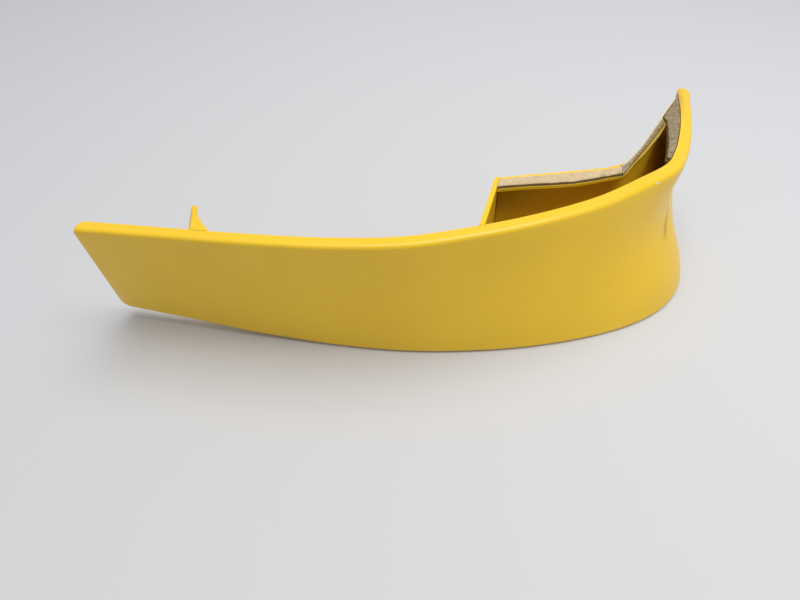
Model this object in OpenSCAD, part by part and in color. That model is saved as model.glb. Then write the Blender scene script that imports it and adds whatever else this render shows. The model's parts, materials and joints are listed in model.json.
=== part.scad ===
// Body-colour rear wing end section with a hollow mounting foot, standing on its lip.
// Millimetres, +Z up. The rim plane that meets the bodywork faces up.

/* [Overall] */
// Overall length along X, blade end to foot tip
span = 609; // [555:1:665]
// Overall depth along Y, lip to foot tip
reach = 272; // [250:1:295]
// Height of the rim plane above the lip
rim_h = 143; // [120:1:165]

/* [Skins] */
// Wall thickness of the front skin
skin_t = 3.5; // [2.5:0.1:4.5]
// Width of the rolled rim, front face to back face
rim_w = 12; // [11:0.5:14]
// Outer rounding of the rim
rim_r = 4.2; // [3.6:0.1:5]
// Rounding of the lip it stands on
lip_r = 5; // [4.2:0.1:6]
// Width of the lip return under the blade
lip_w = 14; // [13:0.5:16]
// Wall thickness of the blade's back skin
back_t = 3; // [2:0.1:3.5]

/* [Foot] */
// Wall thickness of the foot walls
wall_t = 3.5; // [2.8:0.1:4]
// Thickness of the inner end wall at its top edge
end_wall_t = 4.6; // [4:0.1:6]
// Depth of the tape ledge below the rim plane
ledge_drop = 2.5; // [2:0.1:3]
// Thickness of the floor panel
floor_t = 3; // [2:0.1:4]

/* [Tape] */
// Width of the foam tape along the side rim
side_tape_w = 12.7; // [10:0.1:13]
// Thickness of the foam tape
foam_t = 2.4; // [1.6:0.1:2.6]
// Thickness of the paper liner
liner_t = 0.4; // [0.3:0.1:0.6]

/* [Tab] */
// How far the tab reaches behind the blade
tab_len = 36; // [28:1:44]
// Thickness of the tab
tab_t = 5; // [4:0.5:6]
// Height of the tab
tab_h = 30; // [24:1:45]
// Diameter of the screw hole in the tab
tab_hole_d = 6.6; // [5:0.1:8.5]

/* [Hidden] */
e = 0.004;
gap = 0.15;
bond_t = 0.8;
// rim height that the tables below are drawn for
table_h = 143;
kx = span / 609;
ky = reach / 272;
kz = rim_h / table_h;
// frame shift that puts the middle of the plan at the origin
off_x = 22.23;
off_y = 127.02;

// Front skin stations: rim corner x y, lip corner x y, lip height, waist inset
STN = [
  [-276.5, 13, -282.5, 42, 18.5, 0],
  [-208,   5, -204,  28, 11,  1],
  [-140,  -3, -141,  17,  4,  2],
  [ -65,  -9,  -60,   4,  0,  2],
  [   0,  -8,    0,  -3,  0,  2],
  [  55,   3,   58,  -4,  0,  2],
  [ 119,  22,  124,   1,  0,  2],
  [ 181,  48,  190,  14,  0,  3],
  [ 230,  79,  246,  34,  0,  7],
  [ 263, 103,  286,  62,  0, 14],
  [ 280, 128,  310,  98,  0, 15],
  [ 296, 163,  312, 140,  5, 14],
  [ 309, 200,  310, 183, 46, 8],
  [ 327, 261,  325, 252, 112, 0]
];
u_end = len(STN) - 1;

// Back wall stations: outer top edge x y, bottom edge x y z
WALL = [
  [ 93,  89.8, 92,  64.5, 0],
  [118,  94, 116,  68,   0],
  [152,  99, 150,  72,   0],
  [190, 104.8, 188, 78,  0],
  [207.5, 110.3, 212, 86, 0],
  [218, 117.7, 232, 101, 2],
  [238, 142.8, 256, 128, 8],
  [263, 180.5, 283, 166, 30],
  [284.5, 213.2, 298, 204, 72],
  [306, 244.5, 309, 237, 112],
  [320, 259.5, 318, 250, 112]
];
w_end = len(WALL) - 1;

// Inner edge of the tape shelf, from the end wall round the slant to its apex
SHELF = [[88.3, 73.6], [114, 77], [155, 80.8], [180, 86.5], [195, 91], [205, 93.5], [212, 97.5],
         [219, 106], [229, 119.5], [240.5, 133], [252, 149], [265, 167], [278, 187.5]];

// Inner edge of what is left of the slanted tape
SLANT = [[208.3, 94.9], [211.5, 98.4], [216.2, 105], [221.3, 112], [230.8, 124.5], [243.1, 141],
         [254.8, 157.5], [264, 171], [274, 185.5]];

function clamp(v, lo, hi) = min(max(v, lo), hi);
function mix(a, b, t) = a * (1 - t) + b * t;
function row(T, i) = T[clamp(i, 0, len(T) - 1)];
function spline(a, b, c, d, t) =
  0.5 * (2 * b + (c - a) * t + (2 * a - 5 * b + 4 * c - d) * t * t
  + (3 * b - a - 3 * c + d) * t * t * t);
function at(T, u) =
  let (i = clamp(floor(u), 0, len(T) - 2), t = u - i)
  spline(row(T, i - 1), row(T, i), row(T, i + 1), row(T, i + 2), t);
function unit(v) = v / norm(v);
function right_of(v) = [v[1], -v[0]];
function place(p, z) = [(p[0] - off_x) * kx, (p[1] - off_y) * ky, z * kz];

// distance in plan from station u to the blade's free end and to the foot's tip
function from_end(u) = u < 1 ? at(STN, u)[0] - STN[0][0] : 100;
function from_tip(u) =
  let (s = at(STN, u), t = STN[u_end])
  u > 12 ? norm([t[0] - s[0], t[1] - s[1]]) : 100;
// setback of a rounded corner of radius r, at a distance d in from its end
function rounded(d, r) = let (s = clamp(d / r, 0, 1)) r * (1 - sqrt(1 - (1 - s) * (1 - s)));
// height of the lip: the blade's lower corner is rounded by corner_r
corner_r = 9;
function lip_z(u) = max(0, at(STN, u)[4]) + rounded(from_end(u), corner_r);
function wall_z(w) = max(0.3, at(WALL, w)[4]);

// outward direction in plan at station u, of the curve in columns k and k + 1
function slope(T, u, k) =
  let (a = at(T, clamp(u - 0.02, 0, len(T) - 1)), b = at(T, clamp(u + 0.02, 0, len(T) - 1)))
  unit(right_of([b[k] - a[k], b[k + 1] - a[k + 1]]));

// height of the rim: rounded off at the blade end
end_r = 4;
function rim_z(u) = table_h - rounded(from_end(u), end_r);

// point of the front face at station u and height z, moved inward by a
function face(u, z, a) =
  let (s = at(STN, u), v = clamp((table_h - z) / (table_h - lip_z(u)), 0, 1),
       n = unit(mix(slope(STN, u, 0), slope(STN, u, 2), v)),
       p = mix([s[0], s[1]], [s[2], s[3]], v),
       q = p - n * (a + s[5] * 33.5 * pow(v, 2) * pow(1 - v, 3.3)))
  [q[0], q[1], z];
function put(p) = place(p, p[2]);

// point of the back wall at station w and height z, moved inward by a
function wall(w, z, a) =
  let (s = at(WALL, w), v = clamp((table_h - z) / (table_h - wall_z(w)), 0, 1),
       n = unit(mix(slope(WALL, w, 0), slope(WALL, w, 2), v)),
       p = mix([s[0], s[1]], [s[2], s[3]], pow(v, 1.6)),
       q = p + n * a)
  [q[0], q[1], z];

function grid_faces(m, n, o1, o2) = [
  for (i = [0:m - 2], j = [0:n - 2]) each [
    [o1 + i * n + j, o1 + i * n + j + 1, o1 + (i + 1) * n + j],
    [o1 + i * n + j + 1, o1 + (i + 1) * n + j + 1, o1 + (i + 1) * n + j],
    [o2 + i * n + j, o2 + (i + 1) * n + j, o2 + i * n + j + 1],
    [o2 + i * n + j + 1, o2 + (i + 1) * n + j, o2 + (i + 1) * n + j + 1]
  ],
  for (i = [0:m - 2]) each [
    [o1 + i * n, o1 + (i + 1) * n, o2 + i * n],
    [o1 + (i + 1) * n, o2 + (i + 1) * n, o2 + i * n],
    [o1 + i * n + n - 1, o2 + i * n + n - 1, o1 + (i + 1) * n + n - 1],
    [o1 + (i + 1) * n + n - 1, o2 + i * n + n - 1, o2 + (i + 1) * n + n - 1]
  ],
  for (j = [0:n - 2]) each [
    [o1 + j, o2 + j, o1 + j + 1],
    [o1 + j + 1, o2 + j, o2 + j + 1],
    [o1 + (m - 1) * n + j, o1 + (m - 1) * n + j + 1, o2 + (m - 1) * n + j],
    [o1 + (m - 1) * n + j + 1, o2 + (m - 1) * n + j + 1, o2 + (m - 1) * n + j]
  ]
];
function total(v, i = 0, s = 0) = i == len(v) ? s : total(v, i + 1, s + v[i]);
function signed(P, F) = total([for (f = F) P[f[0]] * cross(P[f[1]], P[f[2]])]);
function flipped(F) = [for (f = F) [f[0], f[2], f[1]]];

// closed solid between two point grids of one size
module sheet(A, B) {
  m = len(A);
  n = len(A[0]);
  P = [for (r = A) each r, for (r = B) each r];
  F = grid_faces(m, n, 0, m * n);
  polyhedron(points = P, faces = signed(P, F) < 0 ? F : flipped(F), convexity = 8);
}

// arc steps shared by the rim and lip roundings
ARC = [0, 22.5, 45, 67.5, 90];
face_n = 7;
// rounding in plan of the rim and the lip at the blade end, and of the rim at the tip
plan_r = rim_w - rim_r - 0.3;
lip_plan_r = min(plan_r, lip_w - lip_r - 0.3);
tip_r = 6;
function rim_width(u) =
  rim_w - rounded(from_end(u), plan_r) - rounded(from_tip(u), tip_r)
  + 2 * clamp((u - 12.2) / 0.5, 0, 1);
function lip_width(u) =
  mix(lip_w, 8, clamp((u - 11.5) / 1.5, 0, 1)) - rounded(from_end(u), lip_plan_r);
function at_z(p, z) = [p[0], p[1], z];

// closed section of the front skin, outer side (t = 0) or inner side (t = skin_t)
function skin_path(u, t) =
  let (H = rim_z(u), L = lip_z(u), r = rim_r, b = lip_r, w = rim_width(u), k = lip_width(u))
  [
    put(at_z(face(u, table_h, w), H - t)),
    put(at_z(face(u, table_h, (w + r) / 2), H - t)),
    for (g = ARC) put(face(u, H - t - (r - t) * (1 - cos(g)), t + (r - t) * (1 - sin(g)))),
    for (j = [1:face_n - 1]) put(face(u, mix(H - r, L + b, j / face_n), t)),
    for (g = ARC) put(face(u, L + t + (b - t) * (1 - sin(g)), t + (b - t) * (1 - cos(g)))),
    put(at_z(face(u, L, (k + b) / 2), L + t)),
    put(at_z(face(u, L, k), L + t))
  ];
END_U = [0.026, 0.038, 0.05, 0.07, 0.09, 0.12, 0.2];
SKIN_U = [0, 0.006, 0.014, each END_U, for (i = [1:35]) 0.2 + i * 12.6 / 35, 12.84, 12.88,
          12.92, 12.96, 13];

module outer_skin() {
  color([0.95, 0.75, 0.1])
    sheet([for (u = SKIN_U) skin_path(u, 0)], [for (u = SKIN_U) skin_path(u, skin_t)]);
}

// blade: everything between the blade end and the foot's inner end wall
BLADE_U = [each END_U, for (i = [1:16]) 0.2 + i * 4.85 / 16];
function back_in(u, z) =
  let (v = clamp((table_h - z) / (table_h - lip_z(u)), 0, 1)) mix(rim_width(u), lip_width(u), v);

// point k of n down the blade, a behind the back face and shy of the rim and the lip
function blade_column(u, shy, k, n, a) =
  let (z0 = rim_z(u) - skin_t - gap - shy, z1 = lip_z(u) + skin_t + bond_t + shy,
       z = mix(z0, z1, k / n))
  put(face(u, z, back_in(u, z) - a));

module blade_back_skin() {
  color([0.93, 0.72, 0.1])
    sheet(
      [for (u = BLADE_U) [for (k = [0:7]) blade_column(u, 0, k, 7, 0)]],
      [for (u = BLADE_U) [for (k = [0:7]) blade_column(u, 0, k, 7, back_t)]]
    );
}

// foam between the two skins from station u0 to u1
module blade_fill(u0, u1, n) {
  sheet(
    [for (i = [0:n]) let (u = mix(u0, u1, i / n))
      [for (k = [0:6]) blade_column(u, 0.2, k, 6, back_t + gap)]],
    [for (i = [0:n]) let (u = mix(u0, u1, i / n))
      [for (k = [0:6])
        let (z = mix(rim_z(u) - skin_t - gap - 0.2, lip_z(u) + skin_t + bond_t + 0.2, k / 6))
        put(face(u, z, skin_t + gap))]]
  );
}

module blade_core() {
  color([0.86, 0.8, 0.62])
    blade_fill(0.17, 4.95, 16);
}

module blade_end_plug() {
  color([0.9, 0.68, 0.1])
    blade_fill(0.03, 0.16, 4);
}

// adhesive bead lying on the lip return between stations u0 and u1, from a0 to a1 inward
module lip_bead(u0, u1, n, a0, a1) {
  U = [for (i = [0:n]) mix(u0, u1, i / n)];
  sheet(
    [for (u = U) [for (a = [a0, a1])
      put(at_z(face(u, lip_z(u), min(a, lip_width(u) - 0.3)), lip_z(u) + skin_t + bond_t - 0.02))]],
    [for (u = U) [for (a = [a0, a1])
      put(at_z(face(u, lip_z(u), min(a, lip_width(u) - 0.3)), lip_z(u) + skin_t + 0.02))]]
  );
}

module bond_blade_lip() {
  color([0.25, 0.25, 0.27])
    lip_bead(0.05, 5, 12, lip_w - back_t - 1.5, lip_w);
}

module bond_floor_lip() {
  color([0.25, 0.25, 0.27])
    lip_bead(5.6, 12.4, 20, 7.5, lip_w);
}

// foot: inner end wall between the front skin and the back wall
end_u = 5.285;
function end_wall_point(j, k, side) =
  let (top = j < 2 ? table_h - skin_t - gap - 0.1 : table_h,
       z = mix(top, lip_z(end_u) + skin_t + 0.1, k / 6),
       f = face(end_u, z, [skin_t + gap, rim_w, rim_w + gap, 0, 0, 0][min(j, 2)]),
       v = (table_h - z) / table_h,
       b = [90.6 - pow(v, 1.6), 90 - 25.5 * pow(v, 1.6)],
       g = face(end_u, z, rim_w + gap),
       d = unit([b[0] - g[0], b[1] - g[1]]),
       p = j < 3 ? [f[0], f[1]] : mix([g[0], g[1]], b, (j - 2) / 4),
       q = p + right_of(d) * (side * end_wall_t / 2))
  put([q[0], q[1], z]);

module foot_end_wall() {
  color([0.9, 0.7, 0.1])
    sheet(
      [for (j = [0:6]) [for (k = [0:6]) end_wall_point(j, k, -1)]],
      [for (j = [0:6]) [for (k = [0:6]) end_wall_point(j, k, 1)]]
    );
}

// foot: wall under the straight and slanted back flange. Its lip beside the tape is thin
// round the slant, and past station tip_w the wall tucks under the rim to close the tip.
tip_w = 9;
thin_lip = 1.2;
function wall_top(w) = w > tip_w ? table_h - skin_t - 0.2 : table_h;
function wall_lip(w) = mix(wall_t, thin_lip, clamp((w - 3.9) / 0.5, 0, 1));
WALL_W = [0, for (i = [1:7]) 0.5 * i, 3.9, 4.15, 4.4, 4.7, 5, for (i = [1:8]) 5 + 0.5 * i,
          tip_w + 0.02, 9.35, 9.7, w_end];
function wall_outer(w) =
  let (b = wall_z(w), h = wall_top(w), l = wall_lip(w))
  [
    put(wall(w, h, l - 0.4)),
    put(wall(w, h, 0.7)),
    put(wall(w, h - 0.3, 0.25)),
    put(wall(w, h - 1, 0)),
    for (k = [1:8]) put(wall(w, mix(h - 3, b, k / 8), 0))
  ];
function wall_inner(w) =
  let (b = wall_z(w), h = wall_top(w), l = wall_lip(w))
  [
    put(wall(w, h - 0.4, l)),
    put(wall(w, h - 1.2, l)),
    put(wall(w, h - ledge_drop, l)),
    put(wall(w, h - ledge_drop - 0.05, wall_t)),
    for (k = [1:8]) put(wall(w, mix(h - 3, b, k / 8), wall_t))
  ];

module foot_back_wall() {
  color([0.93, 0.73, 0.1])
    sheet([for (w = WALL_W) wall_outer(w)], [for (w = WALL_W) wall_inner(w)]);
}

// station on the back wall that faces station u on the front skin
function partner(u) = u < 9 ? (u - 5.35) * 5 / 3.65 : u - 4;
FLOOR_U = [for (i = [0:18]) 5.42 + i * 7.18 / 18];
function floor_point(u, k, up) =
  let (w = partner(u), zf = lip_z(u) + skin_t + bond_t + up, zb = wall_z(w) + 6 + up,
       p = at_z(face(u, lip_z(u), 7.2), zf), q = wall(w, zb, wall_t + gap))
  put(mix(p, q, k / 3));

module foot_floor() {
  color([0.88, 0.68, 0.1])
    sheet(
      [for (u = FLOOR_U) [for (k = [0:3]) floor_point(u, k, floor_t)]],
      [for (u = FLOOR_U) [for (k = [0:3]) floor_point(u, k, 0)]]
    );
}

// foot: flat shelf for the tape inside the flange, round the slant, the tip and the side rim
shelf_t = 3;
shelf_side_u = 9.3;
function plan(p) = [(p[0] - off_x) * kx, (p[1] - off_y) * ky];
function rim_in(u, a) = plan(face(u, table_h, rim_width(u) + a));
function wall_in(w, a) = plan(wall(w, table_h, a));
function band(n, a, b) = [for (i = [0:n]) mix(a, b, i / n)];

// inner edge of the side tape, measured from the rim: it narrows towards the front
function side_in(u) = mix(4.2, 0.8 + side_tape_w, clamp((u - 9.4) / 2, 0, 1));

module shelf_plate() {
  polygon([
    for (w = band(24, 0.03, 8.65)) wall_in(w, wall_t + 2.5 * gap),
    for (u = band(12, 12.8, shelf_side_u)) rim_in(u, gap),
    for (u = band(6, shelf_side_u, 10.95)) rim_in(u, side_in(u) + 0.7),
    for (k = band(36, len(SHELF) - 1, 0)) plan(at(SHELF, k))
  ]);
}

module tape_shelf() {
  color([0.95, 0.74, 0.1])
    translate([0, 0, (table_h - ledge_drop) * kz - shelf_t])
      linear_extrude(height = shelf_t)
        shelf_plate();
}

// tape strips
tape_z = (table_h - ledge_drop) * kz + 0.02;
tape_in = 3.9;
tape_back_off = [0.4, 0.6];
module strip_back() {
  polygon([
    for (w = band(14, 0.06, 4.04)) wall_in(w, tape_in),
    for (k = band(16, 5.2, 0.03)) plan(at(SHELF, k) + tape_back_off)
  ]);
}

// what is left of the slanted tape: widest at the corner
slant_in = thin_lip + 0.25;
module strip_slant() {
  polygon([
    for (w = band(20, 4.4, 7.5)) wall_in(w, slant_in),
    for (k = band(20, len(SLANT) - 1, 0)) plan(at(SLANT, k))
  ]);
}

side_from = 9.45;
module strip_side() {
  polygon([
    for (u = band(14, side_from, 12.7)) rim_in(u, 0.8),
    for (w = band(8, 8.75, 7.6)) wall_in(w, slant_in + 0.2),
    for (u = band(12, 11.55, side_from)) rim_in(u, side_in(u))
  ]);
}

module layer(z, t) {
  translate([0, 0, z])
    linear_extrude(height = t)
      children();
}

module tape_back_foam() {
  color([0.3, 0.29, 0.27])
    layer(tape_z, foam_t)
      strip_back();
}

module tape_back_liner() {
  color([0.85, 0.76, 0.6])
    layer(tape_z + foam_t + e, liner_t)
      strip_back();
}

module tape_slant_foam() {
  color([0.3, 0.29, 0.27])
    layer(tape_z, foam_t)
      strip_slant();
}

module tape_slant_residue() {
  color([0.66, 0.6, 0.5])
    layer(tape_z + foam_t + e, liner_t * 0.6)
      strip_slant();
}

module tape_side_foam() {
  color([0.3, 0.29, 0.27])
    layer(tape_z, foam_t)
      strip_side();
}

module tape_side_residue() {
  color([0.55, 0.5, 0.42])
    layer(tape_z + foam_t + e, liner_t * 0.6)
      strip_side();
}

// tab behind the blade, with a flared foot and a screw hole
tab_u = 1.5;
tab_lean = 12;
TAB_TOP = face(tab_u, table_h, rim_w);
TAB_LOW = face(tab_u, table_h - tab_h, back_in(tab_u, table_h - tab_h));
tab_roll = 20;
tab_flare = 8.2;
tab_foot = 0.69 * tab_len;
tab_hole_back = 7.5;
tab_hole_down = 12;
tab_dir = slope(STN, tab_u, 0);
tab_turn = atan2(tab_dir[0], -tab_dir[1]);
tab_tilt = atan2(norm([TAB_LOW[0] - TAB_TOP[0], TAB_LOW[1] - TAB_TOP[1]]) * ky, tab_h * kz);

module tab_outline() {
  h = tab_t / 2;
  polygon([
    [-h - 2.5, -8], [-h - 2.5, 1], [-h - 0.7, 13], [-h, 22],
    for (g = [165:-15:15]) [h * cos(g), tab_len - h + h * sin(g)],
    [h, tab_len - h],
    for (t = [1:-0.125:0]) [h + tab_flare * pow(1 - t, 1.15), tab_foot * t],
    [h + tab_flare + 1, -8]
  ]);
}

module tab_frame() {
  rotate([0, 0, tab_lean])
    rotate([0, tab_roll, 0])
      children();
}

// frame that lies along the blade's back face
module back_frame() {
  rotate([0, 0, tab_turn])
    rotate([tab_tilt, 0, 0])
      children();
}

module blade_tab() {
  color([0.95, 0.75, 0.1])
    translate(place(TAB_TOP, table_h))
      difference() {
        tab_frame()
          translate([0, 0, -tab_h])
            linear_extrude(height = tab_h + 8)
              tab_outline();
        back_frame()
          translate([-40, -60 + 0.35, -90])
            cube([80, 60, 180]);
        translate([-50, -30, 0])
          cube([100, 100, 30]);
        tab_frame()
          translate([0, tab_len - tab_hole_back, -tab_hole_down])
            rotate([0, 90, 0])
              cylinder(h = 60, d = tab_hole_d, center = true, $fn = 48);
      }
}

module tab_bond() {
  color([0.25, 0.25, 0.27])
    translate(place(TAB_TOP, table_h))
      back_frame()
        translate([-8, 0.05, -tab_h + 6])
          cube([8, 0.25, tab_h - 10]);
}

outer_skin();
blade_back_skin();
blade_core();
blade_end_plug();
bond_blade_lip();
foot_end_wall();
foot_back_wall();
foot_floor();
bond_floor_lip();
tape_shelf();
tape_back_foam();
tape_back_liner();
tape_slant_foam();
tape_slant_residue();
tape_side_foam();
tape_side_residue();
blade_tab();
tab_bond();
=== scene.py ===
"""Looks for the rear wing end section: painted skins, foam tape and wear on the CAD frame."""
import json
import math

import bmesh
import bpy
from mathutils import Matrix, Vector, noise


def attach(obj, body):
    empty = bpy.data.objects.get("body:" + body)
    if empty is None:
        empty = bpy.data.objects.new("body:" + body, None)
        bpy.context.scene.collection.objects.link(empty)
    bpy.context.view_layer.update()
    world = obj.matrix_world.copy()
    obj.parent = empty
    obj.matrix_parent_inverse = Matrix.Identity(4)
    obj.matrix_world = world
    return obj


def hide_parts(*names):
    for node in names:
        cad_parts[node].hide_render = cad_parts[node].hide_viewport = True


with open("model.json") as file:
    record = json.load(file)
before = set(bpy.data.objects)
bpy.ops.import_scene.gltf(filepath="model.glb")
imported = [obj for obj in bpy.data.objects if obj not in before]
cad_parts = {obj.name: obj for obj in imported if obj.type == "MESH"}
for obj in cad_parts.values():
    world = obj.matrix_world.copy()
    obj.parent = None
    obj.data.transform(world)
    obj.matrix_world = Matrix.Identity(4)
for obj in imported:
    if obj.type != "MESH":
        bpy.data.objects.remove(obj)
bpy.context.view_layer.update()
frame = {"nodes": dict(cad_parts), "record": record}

# ---------------------------------------------------------------- sizes, in millimetres
MM = 0.001
OFF_X, OFF_Y = 22.23, 127.02  # the row frame's origin in the tables below
GAP = 0.15  # between neighbouring pieces
BOND_T = 0.8  # adhesive bead

RIM_Z = 143.0  # height of the rim plane
RIM_W = 12.0  # width of the rim, and its rounded front edge
RIM_R = 4.2
TIP_EXTRA_W = 2  # the rim is this much wider near the tip
LIP_W = 14.0  # width of the lip along the floor, at the tip, and its rounded front edge
LIP_TIP_W = 8
LIP_R = 5.0
SKIN_T = 3.5  # thicknesses
BACK_T = 3.0
WALL_T = 3.5
END_WALL_T = 4.6
SHELF_T = 3.0
FLOOR_T = 3.0
THIN_LIP = 1.2  # lip of the back wall beside the slanted tape
TUCK_GAP = 0.2  # between the rim and the back wall that tucks under it

LEDGE_DROP = 2.5  # the tape shelf lies this far under the rim plane
FOAM_T = 2.4
LINER_T = 0.4
RESIDUE_T = 0.24
SIDE_TAPE_W = 12.7
SIDE_TAPE_IN = 0.8  # from the rim to the side tape
TAPE_IN = 3.9  # from the back wall's outer side to the straight tape

# Rounding at the blade's free end and at the foot's tip, in elevation and in plan
CORNER_R = 9.0
END_R = 4.0
EDGE_R = 1.6
PLAN_R = 8.5
LIP_PLAN_R = 7.5
TIP_R = 7.0
TIP_FRONT_R = 5.5

# The waist's curve peaks at 1 with these powers and this scale
WAIST_SCALE = 33.5
WAIST_TOP_POWER = 2
WAIST_LOW_POWER = 3.3
WALL_POWER = 1.6  # the back walls are steep at the top and lean in below

# Stations along the front skin (U) and the back wall (W)
TIP_WIDE_U = 12.2
LIP_NARROW_U = 11.5
SIDE_NARROW_U = 9.4
SIDE_FROM_U = 9.45
SHELF_SIDE_U = 9.3
THIN_LIP_W = 3.9
TIP_W = 9
SLOPE_STEP = 0.02

# Front skin stations: rim corner x y, lip corner x y, lip height, waist inset
STATIONS = [
    [-276.5, 13, -282.5, 42, 18.5, 0],
    [-208, 5, -204, 28, 11, 1],
    [-140, -3, -141, 17, 4, 2],
    [-65, -9, -60, 4, 0, 2],
    [0, -8, 0, -3, 0, 2],
    [55, 3, 58, -4, 0, 2],
    [119, 22, 124, 1, 0, 2],
    [181, 48, 190, 14, 0, 3],
    [230, 79, 246, 34, 0, 7],
    [263, 103, 286, 62, 0, 14],
    [280, 128, 310, 98, 0, 15],
    [296, 163, 312, 140, 5, 14],
    [309, 200, 310, 183, 46, 8],
    [327, 261, 325, 252, 112, 0],
]
U_END = len(STATIONS) - 1

# Back wall stations: outer top edge x y, bottom edge x y z
WALL = [
    [93, 89.8, 92, 64.5, 0],
    [118, 94, 116, 68, 0],
    [152, 99, 150, 72, 0],
    [190, 104.8, 188, 78, 0],
    [207.5, 110.3, 212, 86, 0],
    [218, 117.7, 232, 101, 2],
    [238, 142.8, 256, 128, 8],
    [263, 180.5, 283, 166, 30],
    [284.5, 213.2, 298, 204, 72],
    [306, 244.5, 309, 237, 112],
    [320, 259.5, 318, 250, 112],
]
W_END = len(WALL) - 1

# Inner edge of the tape shelf, from the end wall round the slant to its apex
SHELF = [
    [88.3, 73.6], [114, 77], [155, 80.8], [180, 86.5], [195, 91], [205, 93.5], [212, 97.5],
    [219, 106], [229, 119.5], [240.5, 133], [252, 149], [265, 167], [278, 187.5],
]

# Inner edge of what is left of the slanted tape
SLANT = [
    [208.3, 94.9], [211.5, 98.4], [216.2, 105], [221.3, 112], [230.8, 124.5], [243.1, 141],
    [254.8, 157.5], [264, 171], [274, 185.5],
]

# Fold beside the waist: station, height, depth of the crease
CREASE = [
    [9.02, 65, 0.0], [9.16, 68.5, 0.9], [9.32, 73, 1.7], [9.5, 80, 1.3], [9.82, 85.5, 0.9],
    [10.4, 89, 0.6], [11.4, 92, 0.0],
]
CREASE_REACH = 3.4
STATION_STEP = 31.0  # millimetres from one station to the next there


# ---------------------------------------------------------------- shape functions
def clamp(value, low, high):
    return min(max(value, low), high)


def rise(value, start, run):
    """0 before start, then up to 1 over run."""
    return clamp((value - start) / run, 0, 1)


def bell(value, centre, half):
    """1 at the centre, falling off over half on either side."""
    return math.exp(-((value - centre) / half) ** 2)


def mix(a, b, t):
    if isinstance(a, (list, tuple)):
        return [p + (q - p) * t for p, q in zip(a, b)]
    return a + (b - a) * t


def band(count, a, b):
    """count + 1 values from a to b."""
    return [mix(a, b, i / count) for i in range(count + 1)]


def at(table, u):
    """Row of a table at a fractional place, on a Catmull-Rom curve through its rows."""
    i = int(clamp(math.floor(u), 0, len(table) - 2))
    t = u - i
    rows = [table[int(clamp(k, 0, len(table) - 1))] for k in (i - 1, i, i + 1, i + 2)]
    return [
        0.5 * (2 * b + (c - a) * t + (2 * a - 5 * b + 4 * c - d) * t * t
               + (3 * b - a - 3 * c + d) * t ** 3)
        for a, b, c, d in zip(*rows)
    ]


def unit(v):
    size = math.hypot(*v)
    return [c / size for c in v]


def outward(table, u, k):
    """Direction in plan that points out of the curve held in columns k and k + 1."""
    last = len(table) - 1
    u = clamp(u, 0, last)
    a = at(table, max(u - SLOPE_STEP, 0))
    b = at(table, min(u + SLOPE_STEP, last))
    return unit([b[k + 1] - a[k + 1], a[k] - b[k]])


def rounded(depth, radius):
    """Setback of a rounded corner at a distance depth in from its end."""
    s = clamp(depth / radius, 0, 1)
    return radius * (1 - math.sqrt(1 - (1 - s) ** 2))


def from_end(u):
    """Distance from the blade's free end to station u."""
    return at(STATIONS, u)[0] - STATIONS[0][0] if u < 1 else math.inf


def from_tip(u):
    """Distance from the foot's tip to station u."""
    if u < U_END - 1:
        return math.inf
    a, b = at(STATIONS, u), STATIONS[-1]
    return math.hypot(b[0] - a[0], b[1] - a[1])


def lip_z(u):
    return max(0, at(STATIONS, u)[4]) + rounded(from_end(u), CORNER_R)


def wall_z(w):
    return max(0.3, at(WALL, w)[4])


def front_setback(u):
    """How far the front face turns in at the blade's end and at the tip."""
    return rounded(from_end(u), EDGE_R) + rounded(from_tip(u), TIP_FRONT_R)


def fold(u, z, reach):
    """Depth of the soft fold beside the waist, falling off over reach millimetres."""
    best = 0.0
    for a, b in zip(CREASE, CREASE[1:]):
        ax, bx, px = a[0] * STATION_STEP, b[0] * STATION_STEP, u * STATION_STEP
        dx, dz = bx - ax, b[1] - a[1]
        t = clamp(((px - ax) * dx + (z - a[1]) * dz) / (dx * dx + dz * dz), 0, 1)
        away = math.hypot(px - ax - dx * t, z - a[1] - dz * t)
        best = max(best, mix(a[2], b[2], t) * math.exp(-away / reach))
    return best


def rim_z(u):
    return RIM_Z - rounded(from_end(u), END_R)


def rim_width(u):
    ends = rounded(from_end(u), PLAN_R) + rounded(from_tip(u), TIP_R)
    return RIM_W - ends + TIP_EXTRA_W * rise(u, TIP_WIDE_U, 0.5)


def lip_width(u):
    width = mix(LIP_W, LIP_TIP_W, rise(u, LIP_NARROW_U, 1.5))
    return width - rounded(from_end(u), LIP_PLAN_R)


def wall_top(w):
    """Top of the back wall: past the slant it tucks under the rim."""
    return RIM_Z - SKIN_T - TUCK_GAP if w > TIP_W else RIM_Z


def wall_lip(w):
    """Thickness of the lip beside the tape: thin round the slant."""
    return mix(WALL_T, THIN_LIP, rise(w, THIN_LIP_W, 0.5))


def side_in(u):
    """Inner edge of the side tape, measured from the rim: the tape widens from its near end."""
    return mix(4.2, SIDE_TAPE_IN + SIDE_TAPE_W, rise(u, SIDE_NARROW_U, 2))


def face(u, z, inset):
    """Point of the front face at station u and height z, moved inward by inset."""
    s = at(STATIONS, u)
    v = clamp((RIM_Z - z) / (RIM_Z - lip_z(u)), 0, 1)
    n = unit(mix(outward(STATIONS, u, 0), outward(STATIONS, u, 2), v))
    p = mix(s[0:2], s[2:4], v)
    waist = s[5] * WAIST_SCALE * v ** WAIST_TOP_POWER * (1 - v) ** WAIST_LOW_POWER
    deep = inset + waist
    return [p[0] - n[0] * deep, p[1] - n[1] * deep, z]


def wall(w, z, inset):
    """Point of the foot's back wall at station w and height z, moved inward by inset."""
    s = at(WALL, w)
    v = clamp((RIM_Z - z) / (RIM_Z - wall_z(w)), 0, 1)
    n = unit(mix(outward(WALL, w, 0), outward(WALL, w, 2), v))
    p = mix(s[0:2], s[2:4], v ** WALL_POWER)
    return [p[0] + n[0] * inset, p[1] + n[1] * inset, z]


def at_z(p, z):
    return [p[0], p[1], z]


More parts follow.
